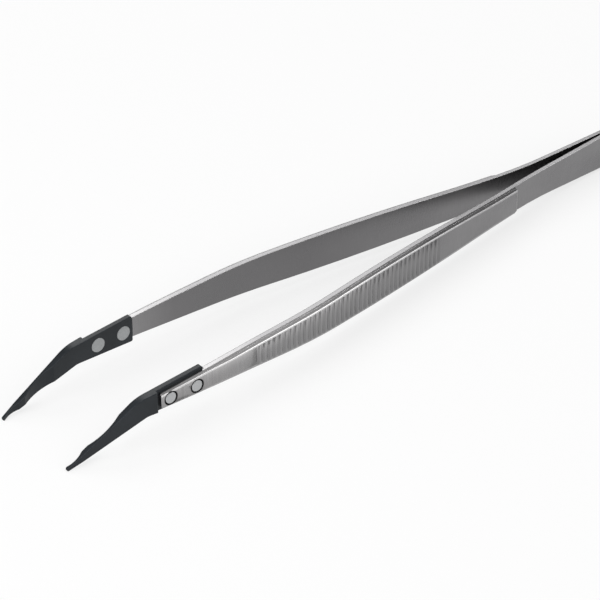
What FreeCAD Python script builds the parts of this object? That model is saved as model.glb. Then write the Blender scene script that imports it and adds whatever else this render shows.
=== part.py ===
import FreeCAD, Part
import math
import os
import re
import Sketcher

# Weight tweezers: two sprung steel arms welded together at the rear, each with a
# moulded grey tip held by two rivets. The model is first built flat, with X from the
# arms' front end (0) to the welded end, Y across the opening and Z across the width
# of the strip. All sub-parts then get one placement, which lays the tweezers on the
# noses of the tips and the lower edge of the welded end. Sizes are in millimetres.

# Driving sizes

SIZES = {
    # the strip of one arm, seen along the opening
    "arm_length": 200.5,
    "grip_width": 11.0,
    "grip_peak_x": 86.5,
    "crown_share": 0.643,
    "neck_width": 8.8,
    "neck_back": 57.0,
    "neck_radius": 480.0,
    "rear_width": 12.4,
    "front_top": 1.55,
    "front_bottom": 2.7,
    "front_corner": 0.6,
    "rear_corner": 2.5,
    # the bends of one arm, seen from above
    "open_half": 15.6,
    "front_bend_x": 17.5,
    "grip_bend_x": 53.2,
    "rear_bend_back": 49.6,
    "weld_length": 10.0,
    "front_angle": 1.3,
    "rear_angle": 2.7,
    "front_bend_radius": 150.0,
    "grip_bend_radius": 175.0,
    "rear_bend_radius": 190.0,
    "weld_bend_radius": 60.0,
    # thickness of the grip, the spring behind it and the thinned front
    "grip_thick": 2.65,
    "spring_thick": 1.2,
    "step_back": 59.2,
    "step_fillet": 0.9,
    "bevel_deep": 1.2,
    "bevel_wide": 0.7,
    "front_thick": 2.05,
    "thinned_length": 30.5,
    # the serration on the grip
    "groove_count": 40.0,
    "groove_first_x": 32.5,
    "groove_pitch": 1.88,
    "groove_radius": 0.75,
    "groove_deep": 0.28,
    # the seat of the tip on the arm
    "rebate_deep": 0.85,
    "tongue_length": 14.7,
    "tongue_gap": 0.5,
    "tongue_thick": 1.4,
    "tongue_top": 3.9,
    "tongue_bottom": 4.3,
    "tongue_corner": 0.5,
    "shoulder_gap": 0.9,
    "shoulder_shy": 0.25,
    # the tip in front of the shoulder
    "bend_x": 6.6,
    "bend_top": 2.25,
    "bend_radius": 12.0,
    "heel_x": 4.3,
    "heel_bottom": 3.53,
    "heel_radius": 5.0,
    "nose_x": 29.45,
    "nose_top": 9.75,
    "nose_high": 0.7,
    "nose_corner": 0.35,
    "nose_in": 14.27,
    "nose_thick": 0.94,
    "nose_land": 0.5,
    "cheek_back": 4.6,
    "cheek_out": 15.77,
    "cheek_radius": 10.0,
    "palm_x": 11.95,
    "palm_in": 14.75,
    "lobe_back": 6.3,
    "lobe_half": 1.0,
    "lobe_in": 14.32,
    "hollow_radius": 13.9,
    "scoop_radius": 5.1,
    "tip_fillet": 0.3,
    # the rivets
    "rivet_front_x": 3.1,
    "rivet_rear_x": 11.75,
    "rivet_drop": 0.6,
    "rivet_shank": 3.4,
    "rivet_head": 4.4,
    "rivet_head_deep": 0.5,
    "rivet_clearance": 0.04,
    "rivet_chamfer": 0.12,
    "sink_mouth": 4.1,
    "sink_deep": 0.5,
}

# How near two places in a model count as the same, and how level it has to lie
SAME_PLACE = 1e-3
LEVEL_WITHIN = 1e-6

NAME = re.compile(r"\b(" + "|".join(sorted(SIZES, key=len, reverse=True)) + r")\b")

doc = FreeCAD.newDocument("weight_tweezers")
sheet = doc.addObject("Spreadsheet::Sheet", "Sizes")
for row, (alias, size) in enumerate(SIZES.items(), start=1):
    sheet.set(f"A{row}", str(size))
    sheet.setAlias(f"A{row}", alias)
doc.recompute()


def cells(formula):
    """The formula with each size's name pointing at its cell in the sheet."""
    return NAME.sub(r"Sizes.\1", formula)


def worth(formula):
    """The number that a formula of named sizes comes to."""
    return float(sheet.evalExpression(cells(formula)))


# Formulas that several pieces share

FLAT = "0 deg"
FRONT_ANGLE = "(front_angle * 1 deg)"
REAR_ANGLE = "(rear_angle * 1 deg)"
WELD_X = "(arm_length - weld_length)"
REAR_X = "(arm_length - rear_bend_back)"
STEP_X = "(arm_length - step_back)"
NECK_X = "(arm_length - neck_back)"
REAR_Y = f"(({WELD_X} - {REAR_X}) * tan(rear_angle))"
GRIP_Y = "(open_half - (grip_bend_x - front_bend_x) * tan(front_angle))"
MID_ANGLE = f"atan(({GRIP_Y} - {REAR_Y}) / ({REAR_X} - grip_bend_x))"
NECK_FALL = "((grip_width - neck_width) / 2)"
NECK_RUN = f"((({NECK_X} - grip_peak_x) ^ 2 + {NECK_FALL} ^ 2) / (2 * {NECK_FALL}))"
CROWN_RADIUS = f"(crown_share * {NECK_RUN})"
CROWN_FALL = "(grip_width / 2 - front_top)"
CROWN_FRONT = f"((grip_peak_x ^ 2 + {CROWN_FALL} ^ 2) / (2 * {CROWN_FALL}))"
SEAT_Y = "(open_half + rebate_deep)"
TONGUE_IN = f"({SEAT_Y} - tongue_thick)"
FRONT_OUT = "(open_half + front_thick)"
THIN_SLOPE = "((grip_thick - front_thick) / thinned_length)"
CHEEK_X = "(nose_x - cheek_back)"
LOBE_X = "(nose_x - lobe_back)"


def offset_corner(x, y, angle_a, angle_b, thick):
    """The corner of a line that runs at one thickness outside a bent line."""
    mean = f"(({angle_a} + {angle_b}) / 2)"
    half = f"(({angle_a} - {angle_b}) / 2)"
    reach = f"({thick} / cos({half}))"
    return f"({x} + {reach} * sin{mean})", f"({y} + {reach} * cos{mean})"


def mid_point(x, thick):
    """The point at one thickness outside the straight middle stretch of the arm."""
    y = f"({REAR_Y} + ({REAR_X} - {x}) * tan({MID_ANGLE}))"
    return f"({x} + {thick} * sin({MID_ANGLE}))", f"({y} + {thick} * cos({MID_ANGLE}))"


# Sketches

def new_sketch(body, name, role):
    sketch = body.newObject("Sketcher::SketchObject", name)
    plane = next(f for f in body.Origin.OriginFeatures if f.Role == role)
    sketch.AttachmentSupport = [(plane, "")]
    sketch.MapMode = "FlatFace"
    return sketch


def bind(sketch, constraint, formula):
    """Adds a dimension and ties it to a formula of the sheet's sizes."""
    number = sketch.addConstraint(constraint)
    sketch.setExpression(f"Constraints[{number}]", cells(formula))


def pin(sketch, geometry, point, x, y):
    """Places a point by its two distances from the sketch's origin."""
    bind(sketch, Sketcher.Constraint("DistanceX", -1, 1, geometry, point, worth(x)), x)
    bind(sketch, Sketcher.Constraint("DistanceY", -1, 1, geometry, point, worth(y)), y)


def vector(x, y):
    return FreeCAD.Vector(x, y, 0)


def line(sketch, start, end):
    return sketch.addGeometry(Part.LineSegment(vector(*start), vector(*end)), False)


def arc(sketch, centre, radius, start, end, turn_left):
    """An arc from start to end about a centre, and the numbers of its two ends."""
    first = math.atan2(start[1] - centre[1], start[0] - centre[0])
    last = math.atan2(end[1] - centre[1], end[0] - centre[0])
    if not turn_left:
        first, last = last, first
    circle = Part.Circle(vector(*centre), FreeCAD.Vector(0, 0, 1), radius)
    number = sketch.addGeometry(Part.ArcOfCircle(circle, first, last), False)
    return number, (1, 2) if turn_left else (2, 1)


def rounded_corner(before, corner, after, radius):
    """Where a rounding of one radius leaves and meets the two lines at a corner."""
    back = (before[0] - corner[0], before[1] - corner[1])
    on = (after[0] - corner[0], after[1] - corner[1])
    back_length, on_length = math.hypot(*back), math.hypot(*on)
    back = (back[0] / back_length, back[1] / back_length)
    on = (on[0] / on_length, on[1] / on_length)
    turn = math.pi - math.acos(max(-1.0, min(1.0, back[0] * on[0] + back[1] * on[1])))
    tangent = radius * math.tan(turn / 2)
    start = (corner[0] + back[0] * tangent, corner[1] + back[1] * tangent)
    end = (corner[0] + on[0] * tangent, corner[1] + on[1] * tangent)
    turn_left = back[0] * on[1] - back[1] * on[0] < 0
    side = 1 if turn_left else -1
    centre = (start[0] + side * back[1] * radius, start[1] - side * back[0] * radius)
    return start, end, centre, turn_left


def closed_outline(sketch, corners):
    """Draws lines from corner to corner and rounds those that state a radius.

    Each corner is (x, y, radius), as formulas, with None for a sharp corner. A sharp
    corner is pinned by its own two distances, and a rounded one by a point that lies
    on both of its lines."""
    count = len(corners)
    places = [(worth(x), worth(y)) for x, y, _ in corners]
    cuts = []
    for i, (_, _, radius) in enumerate(corners):
        if radius is None:
            cuts.append((places[i], places[i], None, None))
        else:
            cuts.append(rounded_corner(places[i - 1], places[i], places[(i + 1) % count], worth(radius)))
    lines = [line(sketch, cuts[i][1], cuts[(i + 1) % count][0]) for i in range(count)]
    for i, (x, y, radius) in enumerate(corners):
        before, after = lines[i - 1], lines[i]
        if radius is None:
            sketch.addConstraint(Sketcher.Constraint("Coincident", before, 2, after, 1))
            pin(sketch, after, 1, x, y)
            continue
        start, end, centre, turn_left = cuts[i]
        number, (first, last) = arc(sketch, centre, worth(radius), start, end, turn_left)
        sketch.addConstraint(Sketcher.Constraint("Tangent", before, 2, number, first))
        sketch.addConstraint(Sketcher.Constraint("Tangent", number, last, after, 1))
        bind(sketch, Sketcher.Constraint("Radius", number, worth(radius)), radius)
        point = sketch.addGeometry(Part.Point(vector(*places[i])), True)
        sketch.addConstraint(Sketcher.Constraint("PointOnObject", point, 1, before))
        sketch.addConstraint(Sketcher.Constraint("PointOnObject", point, 1, after))
        pin(sketch, point, 1, x, y)


def frame_round(sketch, reach_x, length, reach_y):
    """A rectangle round an outline, so that a pocket keeps only what lies inside it."""
    left, right = f"(0 - {reach_x})", f"({length} + {reach_x})"
    low, high = f"(0 - {reach_y})", f"{reach_y}"
    closed_outline(sketch, [(left, low, None), (right, low, None), (right, high, None), (left, high, None)])


# Features

def pad(body, sketch, name, length):
    feature = body.newObject("PartDesign::Pad", name)
    feature.Profile = sketch
    feature.SideType = "Symmetric"
    feature.setExpression("Length", cells(length))
    return feature


def cut_through(body, sketch, name):
    feature = body.newObject("PartDesign::Pocket", name)
    feature.Profile = sketch
    feature.SideType = "Symmetric"
    feature.Type = "ThroughAll"
    return feature


def finish(body, before, name):
    """Recomputes the body and makes sure that its last feature took material away."""
    doc.recompute()
    volume = body.Shape.Volume
    if not 0 < volume < before - SAME_PLACE:
        raise RuntimeError(f"{name} took nothing away: {before:.3f} then {volume:.3f}")
    return volume


def trimmed(body, plan, name, before):
    """Cuts the body with a plan and returns the volume that is left."""
    cut_through(body, plan(body), name)
    return finish(body, before, name)


def edge_names(shape, wanted):
    """The names of the edges whose middle point the test accepts."""
    names = []
    for number, edge in enumerate(shape.Edges, start=1):
        middle = edge.valueAt((edge.FirstParameter + edge.LastParameter) / 2)
        if wanted(middle, edge):
            names.append(f"Edge{number}")
    return names


# The steel arm on the +Y side

def arm_plan(body):
    """The bent strip seen from above: inner face, welded end, spring, step and grip."""
    sketch = new_sketch(body, "ArmPlan", "XY_Plane")
    weld_out = offset_corner(WELD_X, "0", REAR_ANGLE, FLAT, "spring_thick")
    rear_out = offset_corner(REAR_X, REAR_Y, MID_ANGLE, REAR_ANGLE, "spring_thick")
    grip_out = offset_corner("grip_bend_x", GRIP_Y, MID_ANGLE, FRONT_ANGLE, "grip_thick")
    front_out = offset_corner("front_bend_x", "open_half", FRONT_ANGLE, FLAT, "grip_thick")
    closed_outline(sketch, [
        ("0", "open_half", None),
        ("front_bend_x", "open_half", "front_bend_radius"),
        ("grip_bend_x", GRIP_Y, "grip_bend_radius"),
        (REAR_X, REAR_Y, "rear_bend_radius"),
        (WELD_X, "0", "weld_bend_radius"),
        ("arm_length", "0", None),
        ("arm_length", "spring_thick", None),
        (*weld_out, "(weld_bend_radius - spring_thick)"),
        (*rear_out, "(rear_bend_radius - spring_thick)"),
        (*mid_point(STEP_X, "spring_thick"), "step_fillet"),
        (*mid_point(STEP_X, "grip_thick"), None),
        (*grip_out, "(grip_bend_radius + grip_thick)"),
        (*front_out, "(front_bend_radius + grip_thick)"),
        ("0", "(open_half + grip_thick)", None),
    ])
    return sketch


def touch_point(point, centre, radius):
    """Where a line from a point touches a circle, on the side nearer the arm's middle."""
    dx, dy = point[0] - centre[0], point[1] - centre[1]
    lean = math.acos(radius / math.hypot(dx, dy))
    base = math.atan2(dy, dx)
    middle = worth("arm_length / 2")
    found = [(centre[0] + radius * math.cos(base + turn), centre[1] + radius * math.sin(base + turn))
             for turn in (lean, -lean)]
    return min(found, key=lambda place: abs(place[0] - middle))


def arm_edge(sketch, side):
    """One long edge of the strip: crown up to its peak, crown behind it, neck and end.

    The upper edge starts on the crown. The lower one starts on a straight line that
    touches the crown, which leaves room for the rivets. Returns where the edge starts
    and ends, as a geometry's number and point."""
    peak_x, neck_x, length = worth("grip_peak_x"), worth(NECK_X), worth("arm_length")
    half, neck, rear = worth("grip_width / 2"), worth("neck_width / 2"), worth("rear_width / 2")
    crown, back = worth(CROWN_FRONT), worth(CROWN_RADIUS)
    hollow = worth(NECK_RUN) - back
    peak = (peak_x, side * half)
    crown_centre = (peak_x, side * (half - crown))
    back_centre = (peak_x, side * (half - back))
    flare = worth("neck_radius")
    waist = (neck_x, side * neck)
    neck_centre = (neck_x, side * (neck + hollow))
    flare_centre = (neck_x, side * (neck + flare))
    share = worth("crown_share")
    meet = tuple(a + share * (b - a) for a, b in zip(back_centre, neck_centre))
    corner = (length, side * rear)
    leave = touch_point(corner, flare_centre, flare)
    front = (0.0, worth("front_top")) if side > 0 else (0.0, -worth("front_bottom"))
    start = front if side > 0 else touch_point(front, crown_centre, crown)

    rise, rise_ends = arc(sketch, crown_centre, crown, start, peak, side < 0)
    sink, sink_ends = arc(sketch, back_centre, back, peak, meet, side < 0)
    dip, dip_ends = arc(sketch, neck_centre, hollow, meet, waist, side > 0)
    widen, widen_ends = arc(sketch, flare_centre, flare, waist, leave, side > 0)
    tail = line(sketch, leave, corner)
    pin(sketch, rise, rise_ends[1], "grip_peak_x", f"{side} * grip_width / 2")
    bind(sketch, Sketcher.Constraint("DistanceX", -1, 1, rise, 3, peak_x), "grip_peak_x")
    sketch.addConstraint(Sketcher.Constraint("Tangent", rise, rise_ends[1], sink, sink_ends[0]))
    bind(sketch, Sketcher.Constraint("Radius", sink, back), CROWN_RADIUS)
    bind(sketch, Sketcher.Constraint("DistanceX", -1, 1, dip, 3, neck_x), NECK_X)
    pin(sketch, dip, dip_ends[1], NECK_X, f"{side} * neck_width / 2")
    sketch.addConstraint(Sketcher.Constraint("Tangent", sink, sink_ends[1], dip, dip_ends[0]))
    sketch.addConstraint(Sketcher.Constraint("Tangent", dip, dip_ends[1], widen, widen_ends[0]))
    bind(sketch, Sketcher.Constraint("Radius", widen, flare), "neck_radius")
    sketch.addConstraint(Sketcher.Constraint("Tangent", widen, widen_ends[1], tail, 1))
    pin(sketch, tail, 2, "arm_length", f"{side} * rear_width / 2")
    if side > 0:
        pin(sketch, rise, rise_ends[0], "0", "front_top")
        return (rise, rise_ends[0]), (tail, 2)
    bind(sketch, Sketcher.Constraint("Radius", rise, crown), CROWN_FRONT)
    sole = line(sketch, front, start)
    sketch.addConstraint(Sketcher.Constraint("Tangent", sole, 2, rise, rise_ends[0]))
    pin(sketch, sole, 1, "0", "0 - front_bottom")
    return (sole, 1), (tail, 2)


def arm_width(body):
    """The strip seen along the opening: crowned grip, narrow neck and wide end."""
    sketch = new_sketch(body, "ArmWidth", "XZ_Plane")
    top_front, top_rear = arm_edge(sketch, 1)
    low_front, low_rear = arm_edge(sketch, -1)
    length, rear = worth("arm_length"), worth("rear_width / 2")
    end = line(sketch, (length, rear), (length, -rear))
    sketch.addConstraint(Sketcher.Constraint("Coincident", end, 1, *top_rear))
    sketch.addConstraint(Sketcher.Constraint("Coincident", end, 2, *low_rear))
    front = line(sketch, (0.0, worth("front_top")), (0.0, -worth("front_bottom")))
    sketch.addConstraint(Sketcher.Constraint("Coincident", front, 1, *top_front))
    sketch.addConstraint(Sketcher.Constraint("Coincident", front, 2, *low_front))
    frame_round(sketch, "rear_width", "arm_length", "rear_width")
    return sketch


def thinning_plan(body):
    """The plan of the cut that thins the front of the grip from outside."""
    sketch = new_sketch(body, "FrontPlan", "XY_Plane")
    closed_outline(sketch, [
        ("(0 - thinned_length)", "(open_half + 2 * front_thick - grip_thick)", None),
        ("thinned_length", "(open_half + grip_thick)", None),
        ("thinned_length", "(2 * open_half)", None),
        ("(0 - thinned_length)", "(2 * open_half)", None),
    ])
    return sketch


def rebate_plan(body):
    """The plan of the seat that is cut into the inner face for the tongue of the tip."""
    sketch = new_sketch(body, "RebatePlan", "XY_Plane")
    closed_outline(sketch, [
        ("(0 - tongue_length)", "0", None),
        ("(tongue_length + tongue_gap)", "0", None),
        ("(tongue_length + tongue_gap)", SEAT_Y, None),
        ("(0 - tongue_length)", SEAT_Y, None),
    ])
    return sketch


def groove_path(sketch):
    """The line that the grooves' centres stand on, outside the bowed face of the grip.

    Returns its three stretches as (number, last x, height at x)."""
    reach = "(grip_thick + groove_radius - groove_deep)"
    corners = (
        offset_corner("front_bend_x", "open_half", FRONT_ANGLE, FLAT, reach),
        offset_corner("grip_bend_x", GRIP_Y, MID_ANGLE, FRONT_ANGLE, reach),
        mid_point(STEP_X, reach),
    )
    radius = f"(grip_bend_radius + {reach})"
    a, b, c = ((worth(x), worth(y)) for x, y in corners)
    start, end, centre, turn_left = rounded_corner(a, b, c, worth(radius))
    front = line(sketch, a, start)
    bend, (first, last) = arc(sketch, centre, worth(radius), start, end, turn_left)
    middle = line(sketch, end, c)
    for number in (front, bend, middle):
        sketch.setConstruction(number, True)
    sketch.addConstraint(Sketcher.Constraint("Tangent", front, 2, bend, first))
    sketch.addConstraint(Sketcher.Constraint("Tangent", bend, last, middle, 1))
    bind(sketch, Sketcher.Constraint("Radius", bend, worth(radius)), radius)
    pin(sketch, front, 1, *corners[0])
    pin(sketch, middle, 2, *corners[2])
    corner = sketch.addGeometry(Part.Point(vector(*b)), True)
    sketch.addConstraint(Sketcher.Constraint("PointOnObject", corner, 1, front))
    sketch.addConstraint(Sketcher.Constraint("PointOnObject", corner, 1, middle))
    pin(sketch, corner, 1, *corners[1])

    def on_line(p, q):
        return lambda x: p[1] + (x - p[0]) * (q[1] - p[1]) / (q[0] - p[0])

    def on_bend(x):
        return centre[1] + math.sqrt(worth(radius) ** 2 - (x - centre[0]) ** 2)

    return (front, start[0], on_line(a, b)), (bend, end[0], on_bend), (middle, c[0], on_line(b, c))


def serration_plan(body):
    """One circle for each groove, with its centre on a path outside the grip's face."""
    sketch = new_sketch(body, "GroovePlan", "XY_Plane")
    stretches = groove_path(sketch)
    first_x, pitch, radius = worth("groove_first_x"), worth("groove_pitch"), worth("groove_radius")
    places = [first_x + i * pitch for i in range(int(worth("groove_count")))]
    circles, paths = [], []
    for x in places:
        path, _, height = next(stretch for stretch in stretches if x <= stretch[1])
        circles.append(Part.Circle(vector(x, height(x)), FreeCAD.Vector(0, 0, 1), radius))
        paths.append(path)
    numbers = sketch.addGeometry(circles, False)
    on_path = [Sketcher.Constraint("PointOnObject", number, 3, path) for number, path in zip(numbers, paths)]
    alike = [Sketcher.Constraint("Equal", numbers[0], number) for number in numbers[1:]]
    sketch.addConstraint(on_path + alike)
    bind(sketch, Sketcher.Constraint("Radius", numbers[0], radius), "groove_radius")
    spaced = [Sketcher.Constraint("DistanceX", -1, 1, number, 3, x) for number, x in zip(numbers, places)]
    for i, rule in enumerate(sketch.addConstraint(spaced)):
        sketch.setExpression(f"Constraints[{rule}]", cells(f"groove_first_x + {i} * groove_pitch"))
    return sketch


def out_face(x):
    """The outer face of the thinned front at one place along the arm."""
    return f"({FRONT_OUT} + {THIN_SLOPE} * {x})"


def in_face(x):
    """The inner face of the tongue at one place along the arm."""
    return f"(palm_in + ({TONGUE_IN} - palm_in) * ({x} + palm_x) / (tongue_length + palm_x))"


def turned(body, name, x, corners, cut):
    """Turns a half section about the axis of a rivet, to cut a hole or to make a rivet."""
    sketch = new_sketch(body, f"{name}Section", "XY_Plane")
    sketch.setExpression("AttachmentOffset.Base.x", cells(x))
    sketch.setExpression("AttachmentOffset.Base.z", cells("0 mm - rivet_drop * 1 mm"))
    closed_outline(sketch, corners)
    feature = body.newObject("PartDesign::Groove" if cut else "PartDesign::Revolution", name)
    feature.Profile = sketch
    feature.ReferenceAxis = (sketch, ["V_Axis"])
    feature.Angle = 360
    return feature


def steel_hole(body, name, x):
    """A hole for the rivet's shank, with a countersink in the outer face."""
    bore = "(rivet_shank / 2 + rivet_clearance)"
    face = out_face(x)
    return turned(body, name, x, [
        ("0", "open_half", None),
        (bore, "open_half", None),
        (bore, f"({face} - sink_deep)", None),
        (f"(sink_mouth - {bore})", f"({face} + sink_deep)", None),
        ("0", f"({face} + sink_deep)", None),
    ], True)


def inner_line(x):
    """The inner face of the arm at one place, without its rounded bends."""
    places = [(0.0, worth("open_half")), (worth("front_bend_x"), worth("open_half")),
              (worth("grip_bend_x"), worth(GRIP_Y)), (worth(REAR_X), worth(REAR_Y)),
              (worth(WELD_X), 0.0), (worth("arm_length"), 0.0)]
    for (x_a, y_a), (x_b, y_b) in zip(places, places[1:]):
        if x <= x_b:
            return y_a + (y_b - y_a) * (x - x_a) / (x_b - x_a)
    return 0.0


def dressed(body, kind, name, names, sizes):
    """Adds a chamfer or a fillet on named edges of the body's last feature."""
    base = body.Tip
    feature = body.newObject(f"PartDesign::{kind}", name)
    feature.Base = (base, names)
    for size, formula in sizes.items():
        feature.setExpression(size, cells(formula))
    return feature


def grip_bevel(body, name, side, volume):
    """Bevels one long outer edge of the grip from the front end to the step."""
    step, middle_y = worth(STEP_X), worth("(grip_thick + spring_thick) / 2")

    def on_edge(middle, edge):
        lengthwise = edge.BoundBox.XLength > 0.4 * edge.Length
        out = middle.y > inner_line(middle.x) + middle_y
        return lengthwise and out and middle.x < step and middle.z * side > 0

    names = edge_names(body.Shape, on_edge)
    bevel = dressed(body, "Chamfer", name, names, {"Size": "bevel_wide", "Size2": "bevel_deep"})
    bevel.ChamferType = "Two distances"
    bevel.FlipDirection = side < 0
    return finish(body, volume, name)


def across(edge):
    """Whether an edge runs through the thickness of the strip."""
    return edge.BoundBox.YLength > 0.9 * edge.Length


def end_corners(body, name, x, radius, volume):
    """Rounds the two corners of the strip at one of its ends."""
    end = worth(x)
    names = edge_names(body.Shape, lambda middle, edge: abs(middle.x - end) < SAME_PLACE and across(edge))
    dressed(body, "Fillet", name, names, {"Radius": radius})
    return finish(body, volume, name)


def make_arm():
    body = doc.addObject("PartDesign::Body", "ArmRight")
    pad(body, arm_plan(body), "ArmBlank", "rear_width + grip_width")
    doc.recompute()
    volume = trimmed(body, arm_width, "ArmTrim", body.Shape.Volume)
    volume = grip_bevel(body, "BevelTop", 1, volume)
    volume = grip_bevel(body, "BevelBottom", -1, volume)
    volume = trimmed(body, thinning_plan, "FrontThinning", volume)
    volume = trimmed(body, rebate_plan, "TongueRebate", volume)
    volume = trimmed(body, serration_plan, "Serration", volume)
    for name, x in (("FrontHole", "rivet_front_x"), ("RearHole", "rivet_rear_x")):
        steel_hole(body, name, x)
        volume = finish(body, volume, name)
    volume = end_corners(body, "RearCorners", "arm_length", "rear_corner", volume)
    end_corners(body, "FrontCorners", "0", "front_corner", volume)
    return body


# The moulded tip on the +Y side

def tip_plan(body):
    """The tip seen from above: tongue, shoulder, flank, cheek, nose and inner face."""
    sketch = new_sketch(body, "TipPlan", "XY_Plane")
    shoulder = "(0 - shoulder_gap)"
    nose_out = "(nose_in + nose_thick)"
    closed_outline(sketch, [
        ("tongue_length", TONGUE_IN, None),
        ("tongue_length", SEAT_Y, None),
        (shoulder, SEAT_Y, None),
        (shoulder, f"({FRONT_OUT} - shoulder_shy)", "tip_fillet"),
        (f"(0 - {CHEEK_X})", "cheek_out", "cheek_radius"),
        ("(0 - nose_x)", nose_out, "tip_fillet"),
        ("(0 - nose_x)", "nose_in", "tip_fillet"),
        (f"(0 - {LOBE_X})", "lobe_in", None),
        ("(0 - palm_x)", "palm_in", None),
    ])
    return sketch


def tip_side(body):
    """The tip seen along the opening: level tongue, then the fall to the nose."""
    sketch = new_sketch(body, "TipSide", "XZ_Plane")
    closed_outline(sketch, [
        ("tongue_length", "(0 - tongue_bottom)", "tongue_corner"),
        ("tongue_length", "tongue_top", "tongue_corner"),
        ("(0 - bend_x)", "bend_top", "bend_radius"),
        ("(0 - nose_x)", "(0 - nose_top)", "nose_corner"),
        ("(0 - nose_x)", "(0 - nose_top - nose_high)", "nose_corner"),
        ("(0 - heel_x)", "(0 - heel_bottom)", "heel_radius"),
    ])
    frame_round(sketch, "(2 * nose_x)", "0", "nose_x")
    return sketch


def scallop(body, name, start, end, radius):
    """A circle that cuts one round hollow across the inner face, between two points."""
    sketch = new_sketch(body, f"{name}Plan", "XY_Plane")
    a, b = ((worth(x), worth(y)) for x, y in (start, end))
    size = worth(radius)
    half = math.dist(a, b) / 2
    depth = math.sqrt(size ** 2 - half ** 2) / (2 * half)
    centre = ((a[0] + b[0]) / 2 - (a[1] - b[1]) * depth, (a[1] + b[1]) / 2 - (a[0] - b[0]) * depth)
    circle = Part.Circle(vector(*centre), FreeCAD.Vector(0, 0, 1), size)
    number = sketch.addGeometry(circle, False)
    bind(sketch, Sketcher.Constraint("Radius", number, size), radius)
    for place, (x, y) in ((a, start), (b, end)):
        point = sketch.addGeometry(Part.Point(vector(*place)), True)
        pin(sketch, point, 1, x, y)
        sketch.addConstraint(Sketcher.Constraint("PointOnObject", point, 1, number))
    return sketch


def tongue_hole(body, name, x):
    """A hole for the rivet's shank with a flat recess for its head in the inner face."""
    bore = "(rivet_shank / 2 + rivet_clearance)"
    recess = "(rivet_head / 2 + rivet_clearance)"
    floor = f"({in_face(x)} + rivet_head_deep)"
    below = f"({in_face(x)} - tongue_thick)"
    return turned(body, name, x, [
        ("0", below, None),
        (recess, below, None),
        (recess, floor, None),
        (bore, floor, None),
        (bore, f"({SEAT_Y} + tongue_thick)", None),
        ("0", f"({SEAT_Y} + tongue_thick)", None),
    ], True)


def make_tip():
    body = doc.addObject("PartDesign::Body", "TipRight")
    pad(body, tip_plan(body), "TipBlank", "nose_x")
    doc.recompute()
    volume = trimmed(body, tip_side, "TipTrim", body.Shape.Volume)
    palm, nose = ("(0 - palm_x)", "palm_in"), ("(0 - nose_x + nose_land)", "nose_in")
    lobe_rear = (f"(0 - {LOBE_X} + lobe_half)", "lobe_in")
    lobe_front = (f"(0 - {LOBE_X} - lobe_half)", "lobe_in")
    hollows = (("Hollow", palm, lobe_rear, "hollow_radius"), ("Scoop", lobe_front, nose, "scoop_radius"))
    for name, start, end, radius in hollows:
        cut_through(body, scallop(body, name, start, end, radius), name)
        volume = finish(body, volume, name)
    for name, x in (("TongueFront", "rivet_front_x"), ("TongueRear", "rivet_rear_x")):
        tongue_hole(body, name, x)
        volume = finish(body, volume, name)
    return body


# The rivets on the +Y side

def make_rivet(name, x):
    """A rivet with a flat head inside the tongue and its shank ending in the steel."""
    body = doc.addObject("PartDesign::Body", name)
    seat = f"({in_face(x)} + rivet_head_deep)"
    turned(body, f"{name}Turned", x, [
        ("0", in_face(x), None),
        ("(rivet_head / 2 - rivet_chamfer)", in_face(x), None),
        ("(rivet_head / 2)", f"({in_face(x)} + rivet_chamfer)", None),
        ("(rivet_head / 2)", seat, None),
        ("(rivet_shank / 2)", seat, None),
        ("(rivet_shank / 2)", f"({out_face(x)} - rivet_chamfer)", None),
        ("(rivet_shank / 2 - rivet_chamfer)", out_face(x), None),
        ("0", out_face(x), None),
    ], False)
    doc.recompute()
    return body


def mirrored(source, name):
    """The same piece on the other side of the opening."""
    copy = doc.addObject("Part::Mirroring", name)
    copy.Source = source
    copy.Normal = (0, 1, 0)
    return copy


arm = make_arm()
tip = make_tip()
right = {
    "arm_right": arm,
    "tip_right": tip,
    "rivet_right_front": make_rivet("RivetRightFront", "rivet_front_x"),
    "rivet_right_rear": make_rivet("RivetRightRear", "rivet_rear_x"),
}


# The placement of everything, lying on the noses and the welded end

def tilted(faces, angle):
    """The bounds of some faces once the tweezers are tilted about the Y axis."""
    laid = Part.makeCompound(faces)
    laid.rotate(FreeCAD.Vector(), FreeCAD.Vector(0, 1, 0), angle)
    return laid.optimalBoundingBox(False, False)


def resting_tilt(nose, rear):
    """The tilt at which the nose and the welded end are equally low."""
    low, high = 0.0, 2.0
    gap_low, gap_high = (tilted(rear, angle).ZMin - tilted(nose, angle).ZMin for angle in (low, high))
    while abs(gap_high) > LEVEL_WITHIN:
        angle = high - gap_high * (high - low) / (gap_high - gap_low)
        low, gap_low = high, gap_high
        high, gap_high = angle, tilted(rear, angle).ZMin - tilted(nose, angle).ZMin
    return high


nose = [face for face in tip.Shape.Faces if face.BoundBox.XMin < -worth(LOBE_X)]
rear = [face for face in arm.Shape.Faces if face.BoundBox.XMax > worth(WELD_X)]
tilt = resting_tilt(nose, rear)
rest = FreeCAD.Rotation(FreeCAD.Vector(0, 1, 0), tilt)
front_bounds, rear_bounds = tilted(nose, tilt), tilted(rear, tilt)
shift = FreeCAD.Vector(-(front_bounds.XMin + rear_bounds.XMax) / 2, 0, -front_bounds.ZMin)

for label, piece in right.items():
    piece.Label = label
    piece.Placement = FreeCAD.Placement(shift, rest)
doc.recompute()
pieces = dict(right)
for label, piece in right.items():
    other = label.replace("right", "left")
    pieces[other] = mirrored(piece, other.title().replace("_", ""))
    pieces[other].Label = other
doc.recompute()

# Checks and export


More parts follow.
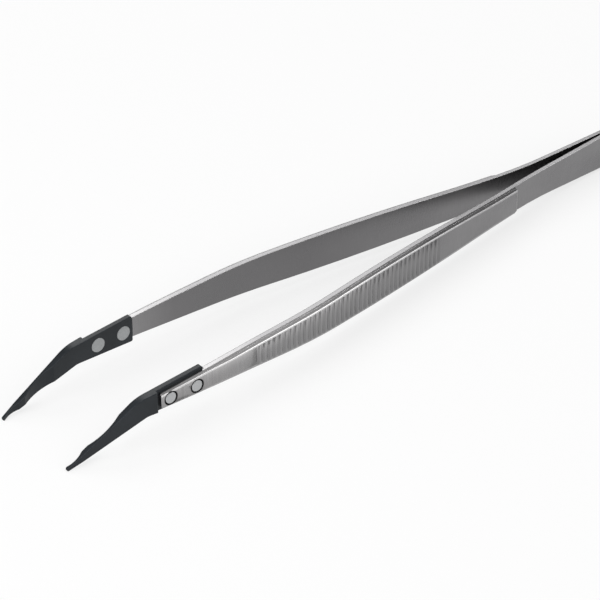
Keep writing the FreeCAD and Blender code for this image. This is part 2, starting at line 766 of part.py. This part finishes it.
os.makedirs("parts", exist_ok=True)
for item in doc.Objects:
    if "Invalid" in item.State or "Error" in item.State:
        raise RuntimeError(f"{item.Name} has the state {item.State}")
for label, piece in pieces.items():
    if piece.Shape.isNull() or not piece.Shape.isValid():
        raise RuntimeError(f"{label} has no valid shape")
    piece.Shape.exportStep(f"parts/{label}.step")
    print(label, round(piece.Shape.Volume, 1), "mm3")
print("resting tilt", tilt, "shift", shift)
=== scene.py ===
"""Weight tweezers: satin steel arms with serrated grips and riveted dark plastic tips."""
import math
from collections import Counter

import bmesh
import bpy
from mathutils import Matrix, Vector

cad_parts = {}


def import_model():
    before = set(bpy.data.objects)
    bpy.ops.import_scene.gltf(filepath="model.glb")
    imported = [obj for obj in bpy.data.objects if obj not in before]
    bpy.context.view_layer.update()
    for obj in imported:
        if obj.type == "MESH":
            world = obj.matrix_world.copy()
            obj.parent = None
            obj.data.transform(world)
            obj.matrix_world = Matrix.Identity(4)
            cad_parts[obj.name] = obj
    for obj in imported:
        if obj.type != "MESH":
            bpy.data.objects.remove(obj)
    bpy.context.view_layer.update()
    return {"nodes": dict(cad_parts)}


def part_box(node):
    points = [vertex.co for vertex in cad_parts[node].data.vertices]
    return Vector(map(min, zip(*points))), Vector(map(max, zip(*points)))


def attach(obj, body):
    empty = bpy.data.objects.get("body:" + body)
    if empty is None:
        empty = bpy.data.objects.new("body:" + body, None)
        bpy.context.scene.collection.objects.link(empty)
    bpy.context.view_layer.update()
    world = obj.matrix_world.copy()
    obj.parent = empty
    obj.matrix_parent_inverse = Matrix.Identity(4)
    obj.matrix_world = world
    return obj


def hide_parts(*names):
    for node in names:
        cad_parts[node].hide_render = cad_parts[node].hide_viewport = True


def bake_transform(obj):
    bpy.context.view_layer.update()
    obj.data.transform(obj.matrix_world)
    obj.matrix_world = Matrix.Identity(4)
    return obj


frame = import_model()
nodes = frame["nodes"]

MM_IN_METRE = 1000

# The photograph's camera, fitted to the outlines of the arms, tips and rivets
CAMERA_AT = (-0.391416, -0.455075, 0.399347)
CAMERA_AZIMUTH = math.radians(38.9756)
CAMERA_FALL = math.radians(33.9801)
CAMERA_ROLL = math.radians(1.7091)
LENS_MM = 150.0
SENSOR_MM = 36.0

# The resting frame of the tweezers: the arms' own axis runs down by the resting tilt
REST_TILT = math.radians(1.0685)
FRONT_END = Vector((-0.085451, 0.0, 0.009796))
TILTED = Matrix.Rotation(REST_TILT, 3, "Y")
LEVELLED = Matrix.Rotation(-REST_TILT, 3, "Y")

# The rivets, in millimetres behind the arms' front end and below their axis
RIVETS_AT = (3.1, 11.75)
RIVET_DROP = 0.6

# The grooves across the grips, in millimetres
GROOVE_FIRST = 32.5
GROOVE_PITCH = 1.88
GROOVE_COUNT = 40
GROOVE_HALF = 0.57


def at(x, y, z):
    """A place in the row frame, from millimetres behind the arms' front end, across and up."""
    return TILTED @ Vector((x, y, z)) / MM_IN_METRE + FRONT_END


def behind_front(point):
    """Millimetres behind the arms' front end, across and up, from a place in the row frame."""
    return LEVELLED @ (point - FRONT_END) * MM_IN_METRE


def camera():
    ahead = Vector((math.sin(CAMERA_AZIMUTH) * math.cos(CAMERA_FALL),
                    math.cos(CAMERA_AZIMUTH) * math.cos(CAMERA_FALL),
                    -math.sin(CAMERA_FALL)))
    right = Vector((math.cos(CAMERA_AZIMUTH), -math.sin(CAMERA_AZIMUTH), 0))
    up = right.cross(ahead)
    rolled_right = right * math.cos(CAMERA_ROLL) - up * math.sin(CAMERA_ROLL)
    rolled_up = right * math.sin(CAMERA_ROLL) + up * math.cos(CAMERA_ROLL)
    data = bpy.data.cameras.new("camera")
    data.lens = LENS_MM
    data.sensor_width = SENSOR_MM
    data.clip_start = 0.01
    data.clip_end = 20.0
    cam = bpy.data.objects.new("camera", data)
    bpy.context.scene.collection.objects.link(cam)
    turn = Matrix((rolled_right, rolled_up, -ahead)).transposed().to_4x4()
    cam.matrix_world = Matrix.Translation(CAMERA_AT) @ turn
    bpy.context.scene.camera = cam
    bpy.context.scene.view_settings.view_transform = "Standard"


# Nodes that the materials share

# The range that most of a noise texture's values lie in
NOISE_LOW, NOISE_HIGH = 0.3, 0.7

BEVEL_SAMPLES = 12
# How well a rounded normal agrees with the flat one where an edge's mask is full, and
# where it ends
AGREES_AT_EDGE, AGREES_BESIDE_EDGE = 0.85, 0.995


def fresh(name):
    material = bpy.data.materials.new(name)
    material.use_nodes = True
    tree = material.node_tree
    tree.nodes.clear()
    out = tree.nodes.new("ShaderNodeOutputMaterial")
    shader = tree.nodes.new("ShaderNodeBsdfPrincipled")
    tree.links.new(shader.outputs["BSDF"], out.inputs["Surface"])
    return material, tree, shader


def node(tree, kind, **settings):
    made = tree.nodes.new(kind)
    for name, value in settings.items():
        if name in made.inputs:
            made.inputs[name].default_value = value
        else:
            setattr(made, name, value)
    return made


def attribute(tree, name):
    return node(tree, "ShaderNodeAttribute", attribute_name=name).outputs["Fac"]


def object_axes(tree):
    """Object coordinates in metres, as outputs X, Y and Z."""
    coords = node(tree, "ShaderNodeTexCoord")
    axes = node(tree, "ShaderNodeSeparateXYZ")
    tree.links.new(coords.outputs["Object"], axes.inputs["Vector"])
    return axes.outputs


def mapped(tree, scale):
    """Object coordinates in millimetres, stretched by a scale for each axis."""
    place = node(tree, "ShaderNodeTexCoord")
    mapping = node(tree, "ShaderNodeMapping")
    mapping.inputs["Scale"].default_value = [MM_IN_METRE * s for s in scale]
    tree.links.new(place.outputs["Object"], mapping.inputs["Vector"])
    return mapping.outputs["Vector"]


def noise(tree, scale, size=1.0, detail=2.0, rough=0.5):
    made = node(tree, "ShaderNodeTexNoise", Scale=size, Detail=detail, Roughness=rough)
    tree.links.new(mapped(tree, scale), made.inputs["Vector"])
    return made.outputs["Fac"]


def spread(tree, value, low, high, from_low=NOISE_LOW, from_high=NOISE_HIGH):
    """A value carried from one range to another, and held at the ends of both."""
    made = node(tree, "ShaderNodeMapRange")
    made.inputs["From Min"].default_value = from_low
    made.inputs["From Max"].default_value = from_high
    made.inputs["To Min"].default_value = low
    made.inputs["To Max"].default_value = high
    tree.links.new(value, made.inputs["Value"])
    return made.outputs["Result"]


def share_of(tree, mask, share):
    return spread(tree, mask, 0.0, share, 0.0, 1.0)


def chained(tree, operation, values):
    total = values[0]
    for value in values[1:]:
        step = node(tree, "ShaderNodeMath", operation=operation)
        tree.links.new(total, step.inputs[0])
        tree.links.new(value, step.inputs[1])
        total = step.outputs["Value"]
    return total


def sum_of(tree, *values):
    return chained(tree, "ADD", values)


def product(tree, *values):
    return chained(tree, "MULTIPLY", values)


def blended(tree, factor, first, second):
    """A colour between two, each a constant or the output of another node."""
    mix = node(tree, "ShaderNodeMix", data_type="RGBA")
    tree.links.new(factor, mix.inputs["Factor"])
    for colour, name in ((first, "A"), (second, "B")):
        socket = next(i for i in mix.inputs if i.name == name and i.type == "RGBA")
        if isinstance(colour, tuple):
            socket.default_value = (*colour, 1)
        else:
            tree.links.new(colour, socket)
    return next(o for o in mix.outputs if o.type == "RGBA")


def either(tree, factor, first, second, out):
    """One shader or another as the surface of an output node."""
    mix = node(tree, "ShaderNodeMixShader")
    tree.links.new(factor, mix.inputs["Fac"])
    tree.links.new(first, mix.inputs[1])
    tree.links.new(second, mix.inputs[2])
    tree.links.new(mix.outputs["Shader"], out.inputs["Surface"])


def broken_edges(tree, radius):
    """Normals that roll over each edge, and a mask of the strip where they do. The radius is
    a number of metres or the output of another node."""
    bevel = node(tree, "ShaderNodeBevel")
    bevel.samples = BEVEL_SAMPLES
    if isinstance(radius, float):
        bevel.inputs["Radius"].default_value = radius
    else:
        tree.links.new(radius, bevel.inputs["Radius"])
    flat = node(tree, "ShaderNodeNewGeometry")
    along = node(tree, "ShaderNodeVectorMath", operation="DOT_PRODUCT")
    tree.links.new(bevel.outputs["Normal"], along.inputs[0])
    tree.links.new(flat.outputs["Normal"], along.inputs[1])
    mask = spread(tree, along.outputs["Value"], 1.0, 0.0, AGREES_AT_EDGE, AGREES_BESIDE_EDGE)
    return bevel.outputs["Normal"], mask


def bumped(tree, shader, normal, value, strength, distance_mm):
    distance = distance_mm / MM_IN_METRE
    bump = node(tree, "ShaderNodeBump", Strength=strength, Distance=distance)
    tree.links.new(value, bump.inputs["Height"])
    tree.links.new(normal, bump.inputs["Normal"])
    tree.links.new(bump.outputs["Normal"], shader.inputs["Normal"])


def near_axis(tree, place, fade):
    """A mask of what lies near a rivet's axis, which runs along Y."""
    coords = node(tree, "ShaderNodeTexCoord")
    level = node(tree, "ShaderNodeVectorMath", operation="MULTIPLY")
    level.inputs[1].default_value = (1, 0, 1)
    away = node(tree, "ShaderNodeVectorMath", operation="DISTANCE")
    away.inputs[1].default_value = (place.x, 0, place.z)
    tree.links.new(coords.outputs["Object"], level.inputs[0])
    tree.links.new(level.outputs["Vector"], away.inputs[0])
    return spread(tree, away.outputs["Value"], 1.0, 0.0, *fade)


# The steel's tones, the pairs from dark to pale. The middle, front, upper, line and narrow
# tones are painted highlight, the edge tone painted highlight with some edge wear, and the
# inner, groove and gap tones painted shade
STEEL_TONES = ((0.212, 0.209, 0.213), (0.257, 0.254, 0.257))
MIDDLE_SHEEN_TONE = (0.309, 0.306, 0.308)
FRONT_SHEEN_TONE = (0.37, 0.363, 0.363)
UPPER_HIGHLIGHT_TONE = (0.80, 0.79, 0.79)
INNER_SHADE_TONE = (0.112, 0.110, 0.112)
BRUSHED_TONE = (0.17, 0.165, 0.17)
STREAK_TONE = (0.20, 0.195, 0.197)
GROOVE_SHADE_TONE = (0.07, 0.069, 0.071)
EDGE_WEAR_AND_HIGHLIGHT_TONE = (0.60, 0.595, 0.60)
LINE_HIGHLIGHT_TONES = ((0.44, 0.435, 0.44), (0.78, 0.772, 0.772))
NARROW_HIGHLIGHT_TONE = (0.85, 0.84, 0.84)
GAP_SHADE_TONE = (0.02, 0.02, 0.021)

# Where the steel's masks fade, in metres: along X, up from the floor, round a rivet
STEP_FADE = (0.035, 0.045)
MIDDLE_FADE = (-0.060, 0.035)
FRONT_FADE = (-0.080, -0.050)
UPPER_HIGHLIGHT_FADE = (-0.050, 0.020)
INNER_START_FADE = (-0.072, -0.056)
INNER_END_FADE = (-0.010, 0.040)
LINE_FADE = (-0.030, 0.040)
HEIGHT_FADE = (0.0068, 0.0128)
GAP_SHADE_FADE = (0.00208, 0.00226)

# Where they fade by how squarely a face looks outward, from 1 for the outer face to -1 for
# the inner one. The mask of the narrow faces goes by the square of that.
OUTER_FADE = (0.3, 0.8)
OUTSIDE_FADE = (0.4, 0.7)
INWARD_FADE = (-0.9, -0.7)
NARROW_FADE = (0.04, 0.16)

# How far the steel's edges are rounded, in metres. Behind the grip the outer ones get more.
ROUNDING_INSIDE = 0.00026
ROUNDING_OUTSIDE = 0.00014
ROUNDING_BEHIND = 0.00034


def steel_material():
    """Satin steel, brushed across the strip. Its colour holds painted light: painted highlight
    paler at the front and on the upper outer face, a painted highlight line along the upper
    outer edge, paler edges with some edge wear, and painted shade on the inner face, in the
    grooves and round the rivets."""
    material, tree, shader = fresh("satin_steel")
    shader.inputs["Metallic"].default_value = 1.0
    outward = attribute(tree, "outward")
    grooves = attribute(tree, "groove")
    bar_highlight = attribute(tree, "bar_highlight")
    axes = object_axes(tree)

    def before(fade):
        return spread(tree, axes["X"], 1.0, 0.0, *fade)

    def behind(fade, amount=1.0):
        return spread(tree, axes["X"], 0.0, amount, *fade)

    # The edges
    outer = spread(tree, outward, 0.0, 1.0, *OUTER_FADE)
    rounding = sum_of(tree, spread(tree, outward, ROUNDING_INSIDE, ROUNDING_OUTSIDE, *OUTER_FADE),
                      product(tree, outer, behind(STEP_FADE, ROUNDING_BEHIND)))
    off_the_line = spread(tree, bar_highlight, 1.0, 0.0, 0.0, 0.4)
    normal, edge = broken_edges(tree, product(tree, rounding, off_the_line))

    # The masks
    clouds = noise(tree, (0.05, 0.10, 0.10), detail=3.0)
    brushing = noise(tree, (9.0, 9.0, 0.25), detail=4.0, rough=0.7)
    streaks = noise(tree, (1.6, 1.6, 0.10), detail=2.0)
    outside = spread(tree, outward, 0.25, 1.0, *OUTSIDE_FADE)
    middle = product(tree, outside, before(MIDDLE_FADE))
    front = product(tree, outside, before(FRONT_FADE))
    height = spread(tree, axes["Z"], 0.0, 1.0, *HEIGHT_FADE)
    upper_highlight = product(tree, height, height, height, outer, before(UPPER_HIGHLIGHT_FADE))
    narrow = spread(tree, product(tree, outward, outward), 1.0, 0.0, *NARROW_FADE)
    inner_shade = product(tree, spread(tree, outward, 1.0, 0.0, *INWARD_FADE),
                    behind(INNER_START_FADE), before(INNER_END_FADE))
    gap_shade = sum_of(tree, *(near_axis(tree, at(x, 0, -RIVET_DROP), GAP_SHADE_FADE)
                           for x in RIVETS_AT))

    # The colour, from the ground up
    tone = blended(tree, spread(tree, clouds, 0.0, 1.0), *STEEL_TONES)
    # Painted highlight: the outer faces paler in the middle, and more so at the front
    tone = blended(tree, middle, tone, MIDDLE_SHEEN_TONE)
    tone = blended(tree, front, tone, FRONT_SHEEN_TONE)
    # Painted highlight on the upper part of the outer face, towards the front
    tone = blended(tree, upper_highlight, tone, UPPER_HIGHLIGHT_TONE)
    # Painted shade on the inner face, over part of its length
    tone = blended(tree, share_of(tree, inner_shade, 0.55), tone, INNER_SHADE_TONE)
    tone = blended(tree, spread(tree, brushing, 0.0, 0.40), tone, BRUSHED_TONE)
    front_streaks = product(tree, front, spread(tree, streaks, 0.0, 0.45))
    tone = blended(tree, front_streaks, tone, STREAK_TONE)
    # Painted shade in the grooves
    tone = blended(tree, share_of(tree, grooves, 0.15), tone, GROOVE_SHADE_TONE)
    # Paler where the edges roll over: painted highlight, with some edge wear
    tone = blended(tree, edge, tone, EDGE_WEAR_AND_HIGHLIGHT_TONE)
    # Painted highlight: the bar's faces take a pale line, paler at the front
    line_highlight = blended(tree, before(LINE_FADE), *LINE_HIGHLIGHT_TONES)
    tone = blended(tree, spread(tree, bar_highlight, 0.0, 0.9, 0.6, 1.0), tone, line_highlight)
    # Painted highlight on the narrow top and bottom faces at the front
    tone = blended(tree, product(tree, front, narrow), tone, NARROW_HIGHLIGHT_TONE)
    # Painted shade in the gap round each rivet; the same mask raises the roughness there
    tone = blended(tree, gap_shade, tone, GAP_SHADE_TONE)
    tree.links.new(tone, shader.inputs["Base Color"])

    rough = sum_of(tree, spread(tree, brushing, -0.04, 0.04), spread(tree, clouds, 0.26, 0.33),
                   share_of(tree, gap_shade, 0.3))
    tree.links.new(rough, shader.inputs["Roughness"])
    bumped(tree, shader, normal, brushing, strength=0.22, distance_mm=0.012)
    return material


PLASTIC_ROUNDING = 0.00035
PLASTIC_TONES = ((0.008, 0.011, 0.014), (0.013, 0.017, 0.021))
PLASTIC_EDGE_WEAR_AND_HIGHLIGHT_TONE = (0.045, 0.052, 0.062)


def plastic_material():
    """Dark grey glass-filled plastic, matt, with a fine moulded grain, paler along its edges:
    painted highlight with some edge wear.
    """
    material, tree, shader = fresh("tip_plastic")
    shader.inputs["Specular IOR Level"].default_value = 0.28
    normal, edge = broken_edges(tree, PLASTIC_ROUNDING)
    grain = noise(tree, (1.0, 1.0, 1.0), size=4.0, detail=3.0, rough=0.6)
    flow = noise(tree, (0.12, 0.4, 0.12), detail=2.0)
    tone = blended(tree, spread(tree, flow, 0.0, 1.0), *PLASTIC_TONES)
    # Paler along the edges: painted highlight, with some edge wear
    tone = blended(tree, share_of(tree, edge, 0.5), tone, PLASTIC_EDGE_WEAR_AND_HIGHLIGHT_TONE)
    tree.links.new(tone, shader.inputs["Base Color"])
    tree.links.new(spread(tree, grain, 0.30, 0.42), shader.inputs["Roughness"])
    bumped(tree, shader, normal, grain, strength=0.30, distance_mm=0.025)
    return material


RIVET_ROUNDING = 0.00012
RIVET_TONES = ((0.34, 0.35, 0.355), (0.43, 0.44, 0.445))
RIVET_OUTER_TONE = (0.62, 0.625, 0.635)
RIVET_EDGE_WEAR_AND_HIGHLIGHT_TONE = (0.52, 0.525, 0.53)

# The two ends of a rivet, as distances from the middle of the tweezers
END_MARGIN = 0.0003
rivet_low, rivet_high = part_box("rivet_right_front")
RIVET_ENDS = (rivet_low[1] + END_MARGIN, rivet_high[1] - END_MARGIN)


def rivet_material():
    """Pale steel with the dull, slightly pitted face of a set rivet, brighter at its outer end."""
    material, tree, shader = fresh("rivet_steel")
    shader.inputs["Metallic"].default_value = 1.0
    normal, edge = broken_edges(tree, RIVET_ROUNDING)
    marks = noise(tree, (1.0, 1.0, 1.0), size=2.5, detail=3.0)
    away = node(tree, "ShaderNodeMath", operation="ABSOLUTE")
    tree.links.new(object_axes(tree)["Y"], away.inputs[0])
    outer = spread(tree, away.outputs["Value"], 0.0, 1.0, *RIVET_ENDS)
    tone = blended(tree, spread(tree, marks, 0.0, 1.0), *RIVET_TONES)
    tone = blended(tree, share_of(tree, outer, 0.5), tone, RIVET_OUTER_TONE)
    # Paler along the edges: painted highlight, with some edge wear
    tone = blended(tree, edge, tone, RIVET_EDGE_WEAR_AND_HIGHLIGHT_TONE)
    tree.links.new(tone, shader.inputs["Base Color"])
    tree.links.new(spread(tree, marks, 0.48, 0.60), shader.inputs["Roughness"])
    bumped(tree, shader, normal, marks, strength=0.25, distance_mm=0.03)
    return material


STEEL = steel_material()
PLASTIC = plastic_material()
RIVET = rivet_material()


def dress(piece, material):
    piece.data.materials.clear()
    piece.data.materials.append(material)


# The arms, with their grooves marked, a bar in the upper outer edge of each that carries a
# painted highlight line, and the right one ready to bend

# The bar's section, in metres. Towards the rear it reaches further up the bevel.
BAR_UP = 0.00026
BAR_UP_MORE = 0.00064
BAR_SHOULDER = 0.00024
BAR_DOWN = 0.00038
BAR_UNDER_OUTER = 0.00045
BAR_UNDER_BEVEL = 0.00030
BAR_LIFT = 0.000012
BAR_END_INSET = 0.00004

# Where it widens, how far it stays off a rivet's axis, and how close two of its rows may
# lie, in millimetres
BAR_WIDENS_FROM = 15
BAR_WIDENS_OVER = 15
HOLE_REACH = 2.3
ROWS_APART = 0.02

# How much each side of the bar is marked for the painted highlight line, from the side on
# the bevel round to the hidden ones
BAR_HIGHLIGHT = (0.5, 1.0, 1.0, 0.3, 0.3, 0.3)
ROUNDED_FROM = 0.4

# What counts as a groove, the outer face and the upper bevel: how squarely a face looks
# outward, and how much up or down
GROOVE_OUTWARD = 0.3
GROOVE_UPWARD = 0.1
OUTER_OUTWARD = 0.9
OUTER_UPWARD = 0.15
BEVEL_OUTWARD = 0.25
BEVEL_UPWARD = (0.6, 0.95)

# The arms' meshes, in metres and radians, and the cuts in millimetres
MERGE_WITHIN = 2e-6
CUT_WITHIN = 1e-7
SLIVER_UNDER = 1e-6
SHARP_FROM = math.radians(25)
BEND_CUTS = [146 + 2 * i for i in range(25)]


def in_groove(centre, normal, side):
    """Whether a face of an arm lies in one of the grooves of its outer face."""
    steps = (behind_front(centre).x - GROOVE_FIRST) / GROOVE_PITCH
    nearest = min(max(round(steps), 0), GROOVE_COUNT - 1)
    upward = abs((LEVELLED @ normal).z)
    outer = normal.y * side > GROOVE_OUTWARD and upward < GROOVE_UPWARD
    return outer and abs(steps - nearest) * GROOVE_PITCH < GROOVE_HALF


def upper_outer_edge(work, side):
    """The places where the upper bevel meets the outer face, from the front to the rear: for
    each the millimetres behind the front end, the point, and the two faces' normals."""
    found = {}
    for edge in work.edges:
        kinds = {}
        for face in edge.link_faces:
            upward = abs((LEVELLED @ face.normal).z)
            outward = face.normal.y * side
            grooved = in_groove(face.calc_center_median(), face.normal, side)
            if outward > OUTER_OUTWARD and upward < OUTER_UPWARD and not grooved:
                kinds["outer"] = face.normal
            elif outward > BEVEL_OUTWARD and BEVEL_UPWARD[0] < upward < BEVEL_UPWARD[1]:
                kinds["bevel"] = face.normal
        if len(kinds) == 2:
            for vert in edge.verts:
                sums = found.setdefault(vert, [Vector(), Vector()])
                sums[0] += kinds["bevel"]
                sums[1] += kinds["outer"]
    places = []
    for vert, (bevel, outer) in found.items():
        spot = behind_front(vert.co)
        off_axis = min(math.hypot(spot.x - x, spot.z + RIVET_DROP) for x in RIVETS_AT)
        if spot.z > 0 and off_axis >= HOLE_REACH:
            places.append((spot.x, vert.co.copy(), bevel.normalized(), outer.normalized()))
    places.sort(key=lambda place: place[0])
    return [place for i, place in enumerate(places)
            if i == 0 or place[0] - places[i - 1][0] > ROWS_APART]


def add_bar(work, side):
    """A bar let into the edge between the upper bevel and the outer face, flush with both and
    rounded over the edge, so that the edge runs on unbroken past the ends of the grooves."""
    # The mark on each face of the bar sets its painted highlight line
    mark = work.faces.layers.float.new("bar_highlight")
    places = upper_outer_edge(work, side)
    last = len(places) - 1
    rows = []
    for i, (x, point, bevel, outer) in enumerate(places):
        along = (places[min(i + 1, last)][1] - places[max(i - 1, 0)][1]).normalized()
        down, back = along.cross(outer), along.cross(bevel)
        down *= -1 if down.dot(bevel) > 0 else 1
        back *= -1 if back.dot(outer) > 0 else 1
        point = point + along * (BAR_END_INSET if i == 0 else -BAR_END_INSET if i == last else 0)
        widened = min(max(x - BAR_WIDENS_FROM, 0) / BAR_WIDENS_OVER, 1)
        high = point + back * (BAR_UP + BAR_UP_MORE * widened)
        low = point + down * BAR_DOWN
        section = (high + bevel * BAR_LIFT, point + back * BAR_SHOULDER + bevel * BAR_LIFT,
                   point + (bevel + outer) * BAR_LIFT, low + outer * BAR_LIFT,
                   low - outer * BAR_UNDER_OUTER, high - bevel * BAR_UNDER_BEVEL)
        rows.append([work.verts.new(corner) for corner in section])
    if len(rows) < 2:
        return
    bar = [work.faces.new(rows[0]), work.faces.new(rows[-1])]
    for row, after in zip(rows, rows[1:]):
        for j, amount in enumerate(BAR_HIGHLIGHT):
            k = (j + 1) % len(BAR_HIGHLIGHT)
            bar.append(work.faces.new((row[j], row[k], after[k], after[j])))
            bar[-1][mark] = amount
    bmesh.ops.recalc_face_normals(work, faces=bar)


def arm_copy(name, label, side, cuts=()):
    """The arm's shape as a piece of its own, cut across at some places so that it can bend."""
    work = bmesh.new()
    work.from_mesh(nodes[name].data)
    bmesh.ops.remove_doubles(work, verts=work.verts, dist=MERGE_WITHIN)
    along = at(1, 0, 0) - at(0, 0, 0)
    for x in cuts:
        everything = work.verts[:] + work.edges[:] + work.faces[:]
        bmesh.ops.bisect_plane(work, geom=everything, plane_co=at(x, 0, 0), plane_no=along,
                               dist=CUT_WITHIN)
    bmesh.ops.dissolve_degenerate(work, dist=SLIVER_UNDER, edges=work.edges)
    work.normal_update()
    add_bar(work, side)
    mesh = bpy.data.meshes.new(label)
    work.to_mesh(mesh)
    work.free()
    grooves = mesh.attributes.new("groove", "FLOAT", "FACE")
    outward = mesh.attributes.new("outward", "FLOAT", "FACE")
    for face in mesh.polygons:
        grooved = in_groove(face.center, face.normal, side)
        face.use_smooth = not grooved
        grooves.data[face.index].value = float(grooved)
        outward.data[face.index].value = face.normal.y * side
    mesh.set_sharp_from_angle(angle=SHARP_FROM)
    bar_highlight = mesh.attributes["bar_highlight"].data
    rounded = Counter(key for face in mesh.polygons if bar_highlight[face.index].value > ROUNDED_FROM
                      for key in face.edge_keys)
    for edge in mesh.edges:
        if rounded[tuple(sorted(edge.vertices))] == 2:
            edge.use_edge_sharp = False
    piece = bpy.data.objects.new(label, mesh)
    bpy.context.scene.collection.objects.link(piece)
    dress(piece, STEEL)
    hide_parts(name)
    return piece


for name, piece in nodes.items():
    kind = name.split("_")[0]
    dress(piece, {"arm": STEEL, "tip": PLASTIC, "rivet": RIVET}[kind])

arm_left = arm_copy("arm_left", "arm_left_grooved", -1)
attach(arm_left, "left_half")
arm_right = arm_copy("arm_right", "arm_right_bending", 1, BEND_CUTS)
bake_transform(arm_right)


# The room

PLAIN_LIGHT = 0.35
FLOOR_HALF = 6.0
FLOOR_GLOW = 0.7
LAMP_AWAY = 1.2

# Each lamp's azimuth and elevation in degrees, its size in metres and its watts
LAMPS = {
    "back": (58, 38.5, (0.7, 0.5), 3.3),
    "side": (-48, 30, (0.8, 0.8), 4.0),
    "top": (-35, 66, (0.7, 0.7), 0.6),
    "front": (-120, 30, (0.5, 0.5), 1.2),
    "left": (-151, 11, (0.6, 0.3), 2.5),
    "key": (166, 50, (1.0, 1.0), 9.0),
}


def world():
    """White for the camera, and a plain grey light for everything else."""
    made = bpy.data.worlds.new("world")
    bpy.context.scene.world = made
    made.use_nodes = True
    tree = made.node_tree
    tree.nodes.clear()
    out = tree.nodes.new("ShaderNodeOutputWorld")
    plain = node(tree, "ShaderNodeBackground", Strength=PLAIN_LIGHT)
    white = node(tree, "ShaderNodeBackground", Strength=1.0)
    rays = node(tree, "ShaderNodeLightPath")
    either(tree, rays.outputs["Is Camera Ray"], plain.outputs["Background"],
           white.outputs["Background"], out)


def lamp(name, azimuth, elevation, size, watts):
    """A soft lamp in some direction from the object, in degrees, aimed at it."""
    data = bpy.data.lights.new(name, "AREA")
    data.shape = "RECTANGLE"
    data.size, data.size_y = size
    data.energy = watts
    made = bpy.data.objects.new(name, data)
    bpy.context.scene.collection.objects.link(made)
    turn, rise = math.radians(azimuth), math.radians(elevation)
    place = LAMP_AWAY * Vector((math.cos(turn) * math.cos(rise),
                                math.sin(turn) * math.cos(rise), math.sin(rise)))
    made.location = place
    made.rotation_euler = (-place).to_track_quat("-Z", "Y").to_euler()


def floor():
    """A pale floor that glows white for the camera and in reflections, with a faint shadow."""
    mesh = bpy.data.meshes.new("floor")
    corners = [(-1, -1), (1, -1), (1, 1), (-1, 1)]
    mesh.from_pydata([(FLOOR_HALF * x, FLOOR_HALF * y, 0) for x, y in corners], [],
                     [(0, 1, 2, 3)])
    made = bpy.data.objects.new("floor", mesh)
    bpy.context.scene.collection.objects.link(made)
    material, tree, shader = fresh("floor")
    shader.inputs["Base Color"].default_value = (0.9, 0.9, 0.9, 1)
    shader.inputs["Roughness"].default_value = 0.9
    shader.inputs["Specular IOR Level"].default_value = 0.0
    rays = node(tree, "ShaderNodeLightPath")
    seen = sum_of(tree, rays.outputs["Is Camera Ray"], rays.outputs["Is Glossy Ray"],
                  rays.outputs["Is Transmission Ray"])
    glow = node(tree, "ShaderNodeEmission", Strength=1.0)
    out = next(n for n in tree.nodes if n.type == "OUTPUT_MATERIAL")
    either(tree, share_of(tree, seen, FLOOR_GLOW), shader.outputs["BSDF"],
           glow.outputs["Emission"], out)
    dress(made, material)


camera()
world()
floor()
for name, settings in LAMPS.items():
    lamp(name, *settings)
